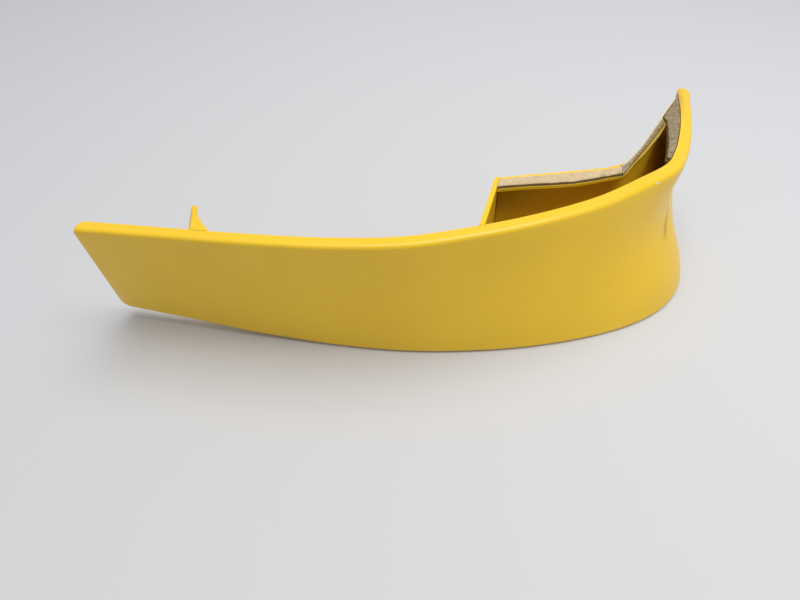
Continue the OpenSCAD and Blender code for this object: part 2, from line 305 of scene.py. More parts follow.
def place(p):
    """Millimetres of the tables to the row frame in metres."""
    return ((p[0] - OFF_X) * MM, (p[1] - OFF_Y) * MM, p[2] * MM)


# ---------------------------------------------------------------- mesh builders
SMOOTH_DEGREES = 35
BEVEL_DEGREES = 50
BEVEL_STEPS = 3
MERGE = 1e-6  # metres


def finish_mesh(mesh):
    """Joins double points, turns the faces outward and smooths all but the sharp edges."""
    bm = bmesh.new()
    bm.from_mesh(mesh)
    bmesh.ops.remove_doubles(bm, verts=bm.verts, dist=MERGE)
    bmesh.ops.recalc_face_normals(bm, faces=bm.faces)
    bm.to_mesh(mesh)
    bm.free()
    mesh.shade_smooth()
    mesh.set_sharp_from_angle(angle=math.radians(SMOOTH_DEGREES))


def add_piece(name, mesh, slot, node, bevel=0.0):
    """Object that rides on the body, stands for a CAD node and takes its finish from a slot."""
    piece = bpy.data.objects.new(name, mesh)
    bpy.context.scene.collection.objects.link(piece)
    piece.data.materials.append(MATERIALS[slot])
    if bevel:
        cut = piece.modifiers.new("rounded_edges", "BEVEL")
        cut.width = bevel * MM
        cut.segments = BEVEL_STEPS
        cut.limit_method = "ANGLE"
        cut.angle_limit = math.radians(BEVEL_DEGREES)
        cut.harden_normals = True
    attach(piece, "root")
    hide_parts(node)
    return piece


def shell_mesh(name, outer, inner, marks=()):
    """Closed solid between two point grids of one size.

    marks holds (label, outer values, inner values), which become point attributes; None is 0."""
    rows, columns = len(outer), len(outer[0])
    verts = [place(p) for r in outer for p in r] + [place(p) for r in inner for p in r]
    back = rows * columns

    def index(i, j):
        return i * columns + j

    faces = []
    for i in range(rows - 1):
        for j in range(columns - 1):
            quad = [index(i, j), index(i, j + 1), index(i + 1, j + 1), index(i + 1, j)]
            faces.append(quad)
            faces.append([back + k for k in reversed(quad)])
        for j in (0, columns - 1):
            a, b = index(i, j), index(i + 1, j)
            faces.append([a, b, back + b, back + a])
    for j in range(columns - 1):
        for i in (0, rows - 1):
            a, b = index(i, j), index(i, j + 1)
            faces.append([a, b, back + b, back + a])
    mesh = bpy.data.meshes.new(name)
    mesh.from_pydata(verts, [], faces)
    for label, *sides in marks:
        flat = []
        for values in sides:
            flat += [value for r in values for value in r] if values else [0.0] * back
        mesh.attributes.new(label, "FLOAT", "POINT").data.foreach_set("value", flat)
    finish_mesh(mesh)
    return mesh


# ---------------------------------------------------------------- materials
SPECULAR = 0.35


def new_material(name, roughness, coat=0.0, coat_roughness=0.1):
    material = bpy.data.materials.new(name)
    material.use_nodes = True
    shader = material.node_tree.nodes["Principled BSDF"]
    shader.inputs["Roughness"].default_value = roughness
    shader.inputs["Coat Weight"].default_value = coat
    shader.inputs["Coat Roughness"].default_value = coat_roughness
    shader.inputs["Specular IOR Level"].default_value = SPECULAR
    return material, shader


def add_noise(tree, scale, detail=3.0, roughness=0.55):
    """Noise over the object's own coordinates, in metres."""
    where = tree.nodes.new("ShaderNodeTexCoord")
    cloud = tree.nodes.new("ShaderNodeTexNoise")
    cloud.inputs["Scale"].default_value = scale
    cloud.inputs["Detail"].default_value = detail
    cloud.inputs["Roughness"].default_value = roughness
    tree.links.new(where.outputs["Object"], cloud.inputs["Vector"])
    return cloud.outputs["Fac"]


def add_ramp(tree, value, stops):
    """Colour ramp with (place, colour) stops."""
    ramp = tree.nodes.new("ShaderNodeValToRGB")
    while len(ramp.color_ramp.elements) < len(stops):
        ramp.color_ramp.elements.new(0.5)
    for element, (position, colour) in zip(ramp.color_ramp.elements, stops):
        element.position = position
        element.color = (*colour, 1.0)
    tree.links.new(value, ramp.inputs["Fac"])
    return ramp.outputs["Color"]


def add_mix(tree, share, a, b):
    """Colour mix of a and b, each a colour or a socket."""
    node = tree.nodes.new("ShaderNodeMix")
    node.data_type = "RGBA"
    tree.links.new(share, node.inputs["Factor"])
    for value, socket in ((a, node.inputs["A"]), (b, node.inputs["B"])):
        if isinstance(value, tuple):
            socket.default_value = (*value, 1.0)
        else:
            tree.links.new(value, socket)
    return node.outputs["Result"]


def add_map(tree, value, low, high, to_low=0.0, to_high=1.0):
    """Value from low..high mapped to to_low..to_high, clamped."""
    node = tree.nodes.new("ShaderNodeMapRange")
    node.inputs["From Min"].default_value = low
    node.inputs["From Max"].default_value = high
    node.inputs["To Min"].default_value = to_low
    node.inputs["To Max"].default_value = to_high
    tree.links.new(value, node.inputs["Value"])
    return node.outputs["Result"]


def add_math(tree, kind, a, b):
    node = tree.nodes.new("ShaderNodeMath")
    node.operation = kind
    for value, socket in ((a, node.inputs[0]), (b, node.inputs[1])):
        if isinstance(value, (int, float)):
            socket.default_value = value
        else:
            tree.links.new(value, socket)
    return node.outputs["Value"]


def add_bump(tree, shader, height, distance, strength=1.0):
    """Bump from a height socket; distance is in millimetres."""
    bump = tree.nodes.new("ShaderNodeBump")
    bump.inputs["Strength"].default_value = strength
    bump.inputs["Distance"].default_value = distance * MM
    tree.links.new(height, bump.inputs["Height"])
    tree.links.new(bump.outputs["Normal"], shader.inputs["Normal"])


def add_attribute(tree, label):
    node = tree.nodes.new("ShaderNodeAttribute")
    node.attribute_name = label
    return node.outputs["Fac"]


def add_chips(tree, scale):
    """Speckle that appears where the wear attribute is high."""
    grain = add_noise(tree, scale, detail=4, roughness=0.65)
    return add_map(tree, add_math(tree, "ADD", add_attribute(tree, "wear"), grain), 1.12, 1.2)


PAINT = (0.85, 0.54, 0.02)
DUST = (0.55, 0.42, 0.12)
PRIMER = (0.72, 0.62, 0.42)
# dark colour for painted shade in the fold, under the flange and along tape edges, and for dirt in
# the tape's tucks
SHADE_AND_DIRT = (0.13, 0.085, 0.018)
TIP_TINT = (0.42, 0.22, 0.05)
SPECKLE = (0.50, 0.44, 0.36)


def paint_material():
    """Solid yellow body paint: faint orange peel, dust, and primer showing where it is worn."""
    material, shader = new_material("body_paint", 0.36, coat=0.12, coat_roughness=0.15)
    tree = material.node_tree
    faded = (PAINT[0] * 0.96, PAINT[1] * 0.95, PAINT[2] * 0.9)
    tint = add_ramp(tree, add_noise(tree, 14, detail=4), [(0.3, faded), (0.7, PAINT)])
    specks = add_noise(tree, 260, detail=5, roughness=0.7)
    dusty = add_mix(tree, add_map(tree, specks, 0.62, 0.8, 0, 0.16), tint, DUST)
    chipped = add_chips(tree, 420)
    tinted = add_mix(tree, add_attribute(tree, "stain"), dusty, TIP_TINT)
    # painted shade in the fold beside the waist and under the foot's flange, and darker paint on
    # the shelf, from this attribute
    darkened = add_mix(tree, add_attribute(tree, "soil"), tinted, SHADE_AND_DIRT)
    colour = add_mix(tree, chipped, darkened, PRIMER)
    tree.links.new(colour, shader.inputs["Base Color"])
    rough = add_map(tree, add_noise(tree, 55, detail=4), 0.3, 0.7, 0.3, 0.42)
    rough = add_math(tree, "MAXIMUM", rough, add_math(tree, "MULTIPLY", chipped, 0.7))
    tree.links.new(rough, shader.inputs["Roughness"])
    peel = add_noise(tree, 520, detail=1.5)
    add_bump(tree, shader, add_math(tree, "SUBTRACT", peel, chipped), 0.05, strength=0.5)
    return material


def grained_material(name, dark, light, scale, roughness, bump, speckle=None):
    """Mottled finish with a matching bump, edges darkened with painted shade and dirt, and, if
    asked, light speckle.
    """
    material, shader = new_material(name, roughness)
    tree = material.node_tree
    cloud = add_noise(tree, scale, detail=5, roughness=0.65)
    mottled = add_ramp(tree, cloud, [(0.35, dark), (0.65, light)])
    colour = add_mix(tree, add_attribute(tree, "soil"), mottled, SHADE_AND_DIRT)
    if speckle:
        colour = add_mix(tree, add_chips(tree, 600), colour, speckle)
    tree.links.new(colour, shader.inputs["Base Color"])
    add_bump(tree, shader, cloud, bump)
    return material


# Name, dark and light colour, grain scale, roughness, bump in millimetres, speckle
GRAINED = [
    ("core_foam", (0.62, 0.55, 0.38), (0.82, 0.76, 0.58), 700, 0.9, 0.4, None),
    ("adhesive", (0.05, 0.05, 0.055), (0.11, 0.11, 0.12), 300, 0.55, 0.3, None),
    ("tape_foam", (0.19, 0.13, 0.05), (0.31, 0.22, 0.10), 1200, 0.85, 0.2, None),
    ("liner", (0.50, 0.37, 0.20), (0.60, 0.46, 0.28), 180, 0.7, 0.1, None),
    ("residue", (0.16, 0.10, 0.035), (0.34, 0.26, 0.15), 300, 0.8, 0.25, SPECKLE),
    ("residue_grey", (0.14, 0.10, 0.045), (0.33, 0.26, 0.16), 380, 0.75, 0.3, SPECKLE),
]
MATERIALS = {"paint": paint_material(), **{row[0]: grained_material(*row) for row in GRAINED}}


# ---------------------------------------------------------------- front skin
# Points in each stretch of a section: rim, rounded edge, face, rounded edge, lip
TOP_POINTS = 4
ROUND_STEPS = 8
FACE_ROWS = 56
LIP_POINTS = 4
ROUND_POINTS = ROUND_STEPS + 1
FACE_POINTS = FACE_ROWS - 1

# Distances from the blade's end and from the tip where the stations crowd, in millimetres
END_STEPS = [0, 0.15, 0.4, 0.8, 1.3, 1.9, 2.6, 3.4, 4.3, 5.2, 7]
TIP_STEPS = [0, 0.25, 0.7, 1.4, 2.3, 3.4, 4.6, 6.0, 8]
END_SPAN = 68.5  # millimetres per station at the blade's end and at the tip
TIP_SPAN = 60.0
SKIN_STATIONS = 250

MIN_RIM_FLAT = 1.2  # least width of the rim, where its front turns in
MIN_TIP_T = 0.4  # least thickness of the skin, where its front turns in

# Worn places along the rim's front edge: station, half length in stations, strength
SCUFFS = [
    [8.2, 0.12, 0.82], [7.25, 0.5, 0.6], [6.6, 0.35, 0.55], [5.05, 0.16, 0.66],
    [4.72, 0.1, 0.62], [4.4, 0.12, 0.58], [1.6, 0.1, 0.5], [9.6, 0.3, 0.52],
    [11.4, 0.5, 0.46], [12.8, 0.2, 0.5],
]
LIP_PALE_LINE = 0.52
CREASE_SHADE_REACH = 2.1
TIP_TINT_U = 12.55
TIP_TINT_HALF = 0.4
TIP_TINT_ACROSS = [0.75, 0.5, 0.22, 0.05]  # from the rim's inner side, one for each rim point


def skin_stations():
    near = [s / END_SPAN for s in END_STEPS]
    far = [U_END - s / TIP_SPAN for s in reversed(TIP_STEPS)]
    return near + band(SKIN_STATIONS, near[-1], far[0])[1:-1] + far


def skin_section(u, t):
    """Section of the front skin at station u, on its outer side (t = 0) or inner side."""
    top, low = rim_z(u), lip_z(u)
    turn = front_setback(u)
    width = max(rim_width(u), turn + MIN_RIM_FLAT)
    curve = min(RIM_R, width - turn - 0.2)
    t = t if t == 0 else clamp(t - turn, MIN_TIP_T, curve * 0.8)
    flat = band(TOP_POINTS, width, turn + curve)[:-1]
    points = [at_z(face(u, RIM_Z, a), top - t) for a in flat]
    for k in range(ROUND_POINTS):
        g = math.pi / 2 * k / ROUND_STEPS
        inset = t + (curve - t) * (1 - math.sin(g)) + turn
        points.append(face(u, top - t - (curve - t) * (1 - math.cos(g)), inset))
    for z in band(FACE_ROWS, top - curve, low + LIP_R)[1:-1]:
        points.append(face(u, z, t + turn + fold(u, z, CREASE_REACH)))
    for k in range(ROUND_POINTS):
        g = math.pi / 2 * k / ROUND_STEPS
        inset = t + (LIP_R - t) * (1 - math.cos(g)) + turn
        points.append(face(u, low + t + (LIP_R - t) * (1 - math.sin(g)), inset))
    returned = band(LIP_POINTS, turn + LIP_R, max(lip_width(u), turn + LIP_R + 0.1))[1:]
    return points + [at_z(face(u, low, a), low + t) for a in returned]


def skin_wear(u):
    """Wear value of each point of a section: scuffs on the rim's front edge and a pale line along
    the lip's rounded edge.
    """
    rim = max(power * bell(u, centre, half) for centre, half, power in SCUFFS)
    lip = LIP_PALE_LINE * rise(u, 4, 2) * clamp((10.5 - u) / 1.5, 0, 1)
    on_rim = [rim * bell(k / ROUND_STEPS, 0.75, 0.28) for k in range(ROUND_POINTS)]
    on_face = [rim * math.exp(-k / 1.5) * 0.7 for k in range(FACE_POINTS)]
    on_lip = [lip * bell(k / ROUND_STEPS, 0.3, 0.3) for k in range(ROUND_POINTS)]
    return [0.0] * TOP_POINTS + on_rim + on_face + on_lip + [0.0] * LIP_POINTS


def skin_crease_shade(u):
    """Painted shade in the fold beside the waist."""
    rows = band(FACE_ROWS, RIM_Z - RIM_R, lip_z(u) + LIP_R)[1:-1]
    darkening = [clamp(0.5 * fold(u, z, CREASE_SHADE_REACH), 0, 0.85) for z in rows]
    return [0.0] * (TOP_POINTS + ROUND_POINTS) + darkening + [0.0] * (ROUND_POINTS + LIP_POINTS)


def skin_tip_tint(u):
    """Brown-orange on the inner side of the rim near the tip."""
    near = bell(u, TIP_TINT_U, TIP_TINT_HALF)
    rest = ROUND_POINTS + FACE_POINTS + ROUND_POINTS + LIP_POINTS
    return [near * share for share in TIP_TINT_ACROSS] + [0.0] * rest


def make_front_skin():
    stations = skin_stations()
    outer = [skin_section(u, 0) for u in stations]
    inner = [skin_section(u, SKIN_T) for u in stations]
    marks = [
        ("wear", [skin_wear(u) for u in stations], None),
        ("soil", [skin_crease_shade(u) for u in stations], None),
        ("stain", [skin_tip_tint(u) for u in stations], None),
    ]
    mesh = shell_mesh("front_skin", outer, inner, marks)
    add_piece("front_skin", mesh, "paint", "outer_skin", bevel=0.5)


# ---------------------------------------------------------------- blade back and end
BACK_FROM_U = 0.026
BACK_TO_U = 5.05
BACK_MIN_IN = 8.0  # least distance from the front face, at the rim and at the lip
BACK_MIN_LIP_IN = 9.0
BLADE_ROWS = 30
PLUG_U = (0.03, 0.16)
PLUG_CLEAR = 0.3
PLUG_MARGIN = 0.2


def back_inset(u, z):
    """Distance from the front face to the blade's back."""
    v = clamp((RIM_Z - z) / (RIM_Z - lip_z(u)), 0, 1)
    return mix(max(rim_width(u), BACK_MIN_IN), max(lip_width(u), BACK_MIN_LIP_IN), v)


def blade_column(u, inset_at, margin=0.0):
    """Points down the blade at station u, from under the rim to above the lip return."""
    top = rim_z(u) - SKIN_T - GAP - margin
    low = lip_z(u) + SKIN_T + BOND_T + margin
    return [face(u, z, inset_at(u, z)) for z in band(BLADE_ROWS, top, low)]


def make_blade_back():
    near = [s / END_SPAN for s in END_STEPS if s > 1.7]
    stations = [BACK_FROM_U] + near + band(110, near[-1], BACK_TO_U)[1:]
    outer = [blade_column(u, back_inset) for u in stations]
    inner = [blade_column(u, lambda u, z: back_inset(u, z) - BACK_T) for u in stations]
    mesh = shell_mesh("blade_back", outer, inner)
    add_piece("blade_back", mesh, "paint", "blade_back_skin", bevel=0.3)


def make_end_plug():
    def near_front(u, z):
        return SKIN_T + GAP + PLUG_CLEAR

    def near_back(u, z):
        return back_inset(u, z) - BACK_T - GAP

    stations = band(8, *PLUG_U)
    front = [blade_column(u, near_front, PLUG_MARGIN) for u in stations]
    back = [blade_column(u, near_back, PLUG_MARGIN) for u in stations]
    mesh = shell_mesh("blade_end_plug_fill", front, back)
    add_piece("blade_end_plug_fill", mesh, "paint", "blade_end_plug", bevel=0.4)


# ---------------------------------------------------------------- foot
END_U = 5.285
END_CORNER = [90.6, 90]  # back corner of the end wall at the rim, and its move by the floor
END_CORNER_MOVE = [1, 25.5]
WALL_CORNER_R = 4.2
END_WALL_ROWS = 40
CORNER_STEPS = [0.92, 0.94, 0.955, 0.97, 0.98, 0.988, 0.994, 0.998, 1.0]

WALL_ROUND = 6
WALL_ROWS = 40
WALL_EDGE_R = 1.3
WALL_FROM_W = -0.03
WALL_CORNER_W = -0.12
RUBBED = 0.86
# painted shade on the back wall's inner side under the flange: strength, reach in stations and in
# rows
WALL_SHADE = 0.6
WALL_SHADE_W = 1.6
WALL_SHADE_ROWS = 16

FLOOR_U = (5.42, 12.6)
FLOOR_COLUMNS = 10
FLOOR_IN = 7.2  # from the front face
FLOOR_RISE = 6  # of the back edge over the back wall's bottom


def end_wall_point(s, z, side):
    """Point of the inner end wall: s runs from the front skin (0) to the back corner (1)."""
    lean = ((RIM_Z - z) / RIM_Z) ** WALL_POWER
    corner = [c - move * lean for c, move in zip(END_CORNER, END_CORNER_MOVE)]
    start = face(END_U, z, RIM_W + GAP)
    d = unit([corner[0] - start[0], corner[1] - start[1]])
    length = math.hypot(corner[0] - start[0], corner[1] - start[1])
    p = mix(start[:2], corner, s)
    left = END_WALL_T / 2 - rounded(length * (1 - s), WALL_CORNER_R)
    out = left if side < 0 else END_WALL_T / 2
    return [p[0] + d[1] * side * out, p[1] - d[0] * side * out, z]


def make_end_wall():
    low = lip_z(END_U) + SKIN_T + 0.1
    steps = band(24, 0, 0.9) + CORNER_STEPS
    heights = band(END_WALL_ROWS, RIM_Z, low)
    left = [[end_wall_point(s, z, -1) for z in heights] for s in steps]
    right = [[end_wall_point(s, z, 1) for z in heights] for s in steps]
    mesh = shell_mesh("foot_end_wall_panel", left, right)
    add_piece("foot_end_wall_panel", mesh, "paint", "foot_end_wall", bevel=1.1)


def wall_column(w, inner_side):
    """Points down the back wall: over its rounded lip, then past the step that carries the tape."""
    top, low, lip = wall_top(w), wall_z(w), wall_lip(w)
    edge = min(WALL_EDGE_R, lip * 0.48)
    points = []
    for k in range(WALL_ROUND + 1):
        g = math.pi / 2 * k / WALL_ROUND
        setback = edge * (1 - math.sin(g))
        inset = lip - setback if inner_side else setback
        points.append(wall(w, top - edge * (1 - math.cos(g)), inset))
    step = top - LEDGE_DROP
    if inner_side:
        points += [wall(w, step, lip), wall(w, step - 0.05, WALL_T)]
    else:
        points += [wall(w, step + 0.5, 0), wall(w, step, 0)]
    inset = WALL_T if inner_side else 0
    return points + [wall(w, z, inset) for z in band(WALL_ROWS, step - 0.5, low)]


def wall_wear(w):
    """The thin lip round the slant is rubbed down to the primer."""
    power = RUBBED * rise(w, 4.1, 0.5) * clamp((TIP_W + 0.2 - w) / 0.4, 0, 1)
    rest = [0.0] * (WALL_ROWS + 3)
    return [power] * (WALL_ROUND - 1) + [power * 0.6, power * 0.3] + rest


def wall_painted_shade(w):
    """Painted shade high on the inner side, under the straight flange, most in the corner."""
    power = WALL_SHADE * bell(max(w, 0), 0, WALL_SHADE_W)
    rows = [power * bell(k, 0, WALL_SHADE_ROWS) for k in range(WALL_ROWS + 1)]
    return [0.0] * (WALL_ROUND + 1) + [power, power] + rows


def make_back_wall():
    stations = band(60, WALL_FROM_W, 3.8) + band(50, 3.8, 5.2)[1:] + band(70, 5.2, TIP_W)[1:]
    stations += band(16, TIP_W + 0.01, W_END)
    outer = [wall_column(w, False) for w in stations]
    inner = [wall_column(w, True) for w in [WALL_CORNER_W] + stations[1:]]
    rubbed = [wall_wear(w) for w in stations]
    marks = [("wear", rubbed, rubbed), ("soil", None, [wall_painted_shade(w) for w in stations])]
    mesh = shell_mesh("foot_back_wall_panel", outer, inner, marks)
    add_piece("foot_back_wall_panel", mesh, "paint", "foot_back_wall", bevel=0.2)


def wall_beside(u):
    """Back wall station that the front skin's station u faces."""
    return (u - 5.35) * 5 / 3.65 if u < 9 else u - 4


def floor_row(u, lift):
    """Points across the foot's floor at station u, from the lip to the back wall."""
    w = wall_beside(u)
    near = at_z(face(u, lip_z(u), FLOOR_IN), lip_z(u) + SKIN_T + BOND_T + lift)
    far = wall(w, wall_z(w) + FLOOR_RISE + lift, WALL_T + GAP)
    return band(FLOOR_COLUMNS, near, far)


def make_floor():
    stations = band(120, *FLOOR_U)
    top = [floor_row(u, FLOOR_T) for u in stations]
    under = [floor_row(u, 0) for u in stations]
    mesh = shell_mesh("foot_floor_panel", top, under)
    add_piece("foot_floor_panel", mesh, "paint", "foot_floor", bevel=0.5)


def rim_in(u, inset):
    """Place in plan at a distance in from the rim's inner side."""
    return face(u, RIM_Z, rim_width(u) + inset)[:2]


def wall_in(w, inset):
    """Place in plan at a distance in from the back wall's outer side."""
    return wall(w, RIM_Z, inset)[:2]


def plate_mesh(name, outline, low, high):
    """Flat plate with an outline in plan."""
    count = len(outline)
    verts = [place([x, y, z]) for z in (high, low) for x, y in outline]
    faces = [list(range(count)), [count + k for k in reversed(range(count))]]
    for k in range(count):
        n = (k + 1) % count
        faces.append([n, k, count + k, count + n])
    mesh = bpy.data.meshes.new(name)
    mesh.from_pydata(verts, [], faces)
    finish_mesh(mesh)
    return mesh


def shelf_darkening(x, y):
    """Darker paint on the shelf: none on the straight side, some round the slant, most beside the
    rim.
    """
    slant = 0.65 * rise(x, 200, 20)
    side = 0.4 * rise(x - 0.67 * y, 155, 3) * rise(x, 235, 10)
    return slant + side


def make_shelf():
    outline = [wall_in(w, WALL_T + 0.02) for w in band(120, 0.03, 8.65)]
    outline += [rim_in(u, GAP) for u in band(60, 12.8, SHELF_SIDE_U)]
    outline += [rim_in(u, side_in(u) + 0.7) for u in band(30, SHELF_SIDE_U, 10.95)]
    outline += [at(SHELF, k) for k in band(120, len(SHELF) - 1, 0)]
    high = RIM_Z - LEDGE_DROP
    mesh = plate_mesh("tape_shelf_plate", outline, high - SHELF_T, high)
    darkening = [shelf_darkening(v.co.x / MM + OFF_X, v.co.y / MM + OFF_Y) for v in mesh.vertices]
    mesh.attributes.new("soil", "FLOAT", "POINT").data.foreach_set("value", darkening)
    add_piece("tape_shelf_plate", mesh, "paint", "tape_shelf", bevel=0.9)


# ---------------------------------------------------------------- tape
TAPE_Z = RIM_Z - LEDGE_DROP + 0.02
TAPE_COLUMNS = [0, 0.06, 0.16, 0.3, 0.5, 0.7, 0.84, 0.94, 1]
TAPE_ROWS = 150
SLANT_ROWS = 130
EDGE_POINTS = 60
TUCK_SPOTS = [0.83, 0.965]  # dirty folds across the strip, as shares of its length
TUCK_HALF = 0.03
SPECKLED = 0.57  # of the strip's near half


def waver(point, scale, seed):
    """Smooth fixed noise in plan, with scale in waves per millimetre."""
    return noise.noise(Vector((point[0] * scale, point[1] * scale, seed)))


def tape_mesh(name, edges, low, high, ripple, ragged, pale=0.0):
    """Strip between two edge lines: the top ripples, the side at b is ragged and carries painted
    shade, dirt lies in the tucks, and the side at a is pale."""
    top, bottom, soil, wear = [], [], [], []
    for i, (a, b) in enumerate(edges):
        q = i / len(edges)
        torn_a = abs(ragged * waver(a, 0.21, 3.7)) * 0.4
        torn_b = abs(ragged * (waver(b, 0.16, 8.1) + 0.5 * waver(b, 0.6, 1.3)))
        across = unit([b[0] - a[0], b[1] - a[1]])
        a = [a[0] + across[0] * torn_a, a[1] + across[1] * torn_a]
        b = [b[0] - across[0] * torn_b, b[1] - across[1] * torn_b]
        tuck = max(bell(q, spot, TUCK_HALF) for spot in TUCK_SPOTS)
        points = [mix(a, b, t) for t in TAPE_COLUMNS]
        waves = [waver(p, 0.09, 0.5) + 0.5 * waver(p, 0.3, 2) for p in points]
        top.append([at_z(p, high - ripple * abs(wave)) for p, wave in zip(points, waves)])
        bottom.append([at_z(p, low) for p in points])
        darkening, speckle = [], []
        for t, wave in zip(TAPE_COLUMNS, waves):
            # painted shade along the ragged side at b, and dirt in the tucks
            rim = math.exp((t - 1) / 0.07) * clamp(0.6 + wave, 0, 1)
            darkening.append(clamp(rim + 0.8 * tuck * math.exp((t - 1) / 0.25), 0, 0.9))
            near = SPECKLED * clamp((0.5 - q) / 0.3, 0, 1)
            speckle.append(max(pale * bell(t, 0, 0.4), near))
        soil.append(darkening)
        wear.append(speckle)
    return shell_mesh(name, top, bottom, [("soil", soil, None), ("wear", wear, None)])


def along(points, count):
    """count + 1 points at even spacing along a line of points."""
    runs = [math.dist(a, b) for a, b in zip(points, points[1:])]
    total, out, start, k = sum(runs), [], 0.0, 0
    for i in range(count + 1):
        goal = total * i / count
        while k < len(runs) - 1 and start + runs[k] < goal:
            start += runs[k]
            k += 1
        share = clamp((goal - start) / runs[k], 0, 1)
        out.append(mix(list(points[k]), list(points[k + 1]), share))
    return out


def strip_edges(first, second, count):
    return list(zip(along(first, count), along(second, count)))


def beside_end_wall(s):
    """Place in plan just inside the end wall's inner side."""
    x, y, _ = end_wall_point(s, RIM_Z, 1)
    return [x + 0.35, y]


def strip_back_edges():
    outer = [beside_end_wall(0.955)] + [wall_in(w, TAPE_IN) for w in band(EDGE_POINTS, 0.09, 4.1)]
    inner = [beside_end_wall(0.775)]
    for x, y in (at(SHELF, k) for k in band(EDGE_POINTS, 0.05, 5.3)):
        inner.append([x + 0.4, y + 0.6])
    return strip_edges(outer, inner, TAPE_ROWS)


def strip_slant_edges():
    outer = [wall_in(4.22, 2.3)]
    outer += [wall_in(w, THIN_LIP + 0.25) for w in band(EDGE_POINTS, 4.4, 7.55)]
    inner = [[207.9, 94.5]] + [at(SLANT, k) for k in band(EDGE_POINTS, 0, len(SLANT) - 1)]
    return strip_edges(outer, inner, SLANT_ROWS)


def strip_side_edges():
    outer = [rim_in(u, SIDE_TAPE_IN) for u in band(EDGE_POINTS, SIDE_FROM_U, 12.7)]
    inner = [rim_in(u, side_in(u)) for u in band(50, SIDE_FROM_U, 11.55)]
    inner += [wall_in(w, THIN_LIP + 0.45) for w in band(40, 7.6, 8.75)]
    return strip_edges(outer, inner, TAPE_ROWS)


def make_tapes():
    """Each strip is foam under the paper liner or under what is left of the tape's face."""
    foam_ripple = 0.1
    overlap = 0.1
    top = TAPE_Z + FOAM_T
    # Strip, edges, face thickness, slot, ripple, raggedness, paleness, node of the face
    strips = [
        ("back", strip_back_edges(), LINER_T, "liner", 0.12, 0.5, 0.0, "tape_back_liner"),
        ("slant", strip_slant_edges(), RESIDUE_T, "residue", 0.16, 1.1, 0.85,
         "tape_slant_residue"),
        ("side", strip_side_edges(), RESIDUE_T, "residue_grey", 0.16, 0.9, 0.0,
         "tape_side_residue"),
    ]
    for label, edges, thick, slot, ripple, ragged, pale, node in strips:
        name = f"{label}_tape_foam"
        foam = tape_mesh(name, edges, TAPE_Z, top - overlap, foam_ripple, ragged * 0.6)
        add_piece(name, foam, "tape_foam", f"tape_{label}_foam")
        name = f"{label}_tape_skin"
        skin = tape_mesh(name, edges, top - 0.09, top + thick, ripple, ragged, pale)
        add_piece(name, skin, slot, node)


# ---------------------------------------------------------------- tab
TAB_U = 1.5
TAB_LEN = 36.0
TAB_T = 5.0
TAB_H = 30.0
TAB_FLARE = 8.2  # how far the foot spreads on the right, over TAB_FOOT, and on the left
TAB_FOOT = 25.0
TAB_LEFT_FLARE = 2.6
TAB_LEAN = math.radians(12)
TAB_ROLL = math.radians(20)
TAB_SMOOTH_DEGREES = 40
TAB_MERGE = 1e-5  # metres
TAB_SINK = 0.4  # into the blade's back
HOLE_D = 6.6
DRILL_LEN = 0.03  # metres


def tab_outline(shrink):
    """Section of the tab in its own frame, x across and y away from the blade: flared foot
    and round end, pulled in by shrink."""
    h = TAB_T / 2
    left = [(-h - 3.0, -8), (-h - 2.7, -2)]
    left += [(-h - TAB_LEFT_FLARE * (1 - t) ** 1.6, mix(-1, 24, t)) for t in band(12, 0, 1)]
    turns = [math.radians(a) for a in band(14, 180, 0)]
    nose = [(h * math.cos(g), TAB_LEN - h + h * math.sin(g)) for g in turns]
    right = [(h + TAB_FLARE * (1 - t) ** 1.4, TAB_FOOT * t) for t in band(16, 1, 0)]
    outline = left + nose + right + [(h + TAB_FLARE + 0.5, -4), (h + TAB_FLARE + 1, -8)]
    if not shrink:
        return outline
    out = []
    for k, point in enumerate(outline):
        a, b = outline[max(k - 1, 0)], outline[min(k + 1, len(outline) - 1)]
        n = unit([b[1] - a[1], a[0] - b[0]])
        out.append((point[0] + n[0] * shrink, point[1] + n[1] * shrink))
    return out


def tab_point(x, y, world_z):
    """Point of the rolled and leaning tab at section place x, y and at height world_z."""
    top = face(TAB_U, RIM_Z, rim_width(TAB_U))
    z = (world_z - RIM_Z + x * math.sin(TAB_ROLL)) / math.cos(TAB_ROLL)
    rolled = x * math.cos(TAB_ROLL) + z * math.sin(TAB_ROLL)
    px = top[0] + (rolled * math.cos(TAB_LEAN) - y * math.sin(TAB_LEAN))
    py = top[1] + (rolled * math.sin(TAB_LEAN) + y * math.cos(TAB_LEAN))
    depth = back_inset(TAB_U, world_z) - TAB_SINK
    back = face(TAB_U + (px - top[0]) / END_SPAN, world_z, depth)
    return [px, max(py, back[1]), world_z]


def tab_levels():
    """Pairs of inset and height down the tab: rounded at the top, bevelled at the bottom."""
    round_r = TAB_T / 2 - 0.5
    levels = []
    for g in band(8, 0, math.pi / 2):
        levels.append((round_r * (1 - math.sin(g)), RIM_Z - round_r * (1 - math.cos(g))))
    low = RIM_Z - TAB_H * 0.9
    levels += [(0, z) for z in band(24, RIM_Z - round_r, low)[1:]]
    return levels + [(0.3, low - 0.5), (1.0, low - 0.9)]


def make_tab():
    bm = bmesh.new()
    rings = []
    for inset, z in tab_levels():
        rings.append([bm.verts.new(place(tab_point(x, y, z))) for x, y in tab_outline(inset)])
    count = len(rings[0])
    for a, b in zip(rings, rings[1:]):
        for k in range(count):
            n = (k + 1) % count
            bm.faces.new([a[k], a[n], b[n], b[k]])
    for ring in (rings[0], rings[-1]):
        for k in range(count // 2 - 1):
            bm.faces.new([ring[k], ring[k + 1], ring[count - 2 - k], ring[count - 1 - k]])
    bmesh.ops.remove_doubles(bm, verts=bm.verts, dist=TAB_MERGE)
    mesh = bpy.data.meshes.new("rear_tab")
    bm.to_mesh(mesh)
    bm.free()
    finish_mesh(mesh)
    drill_tab(add_piece("rear_tab", mesh, "paint", "blade_tab"))


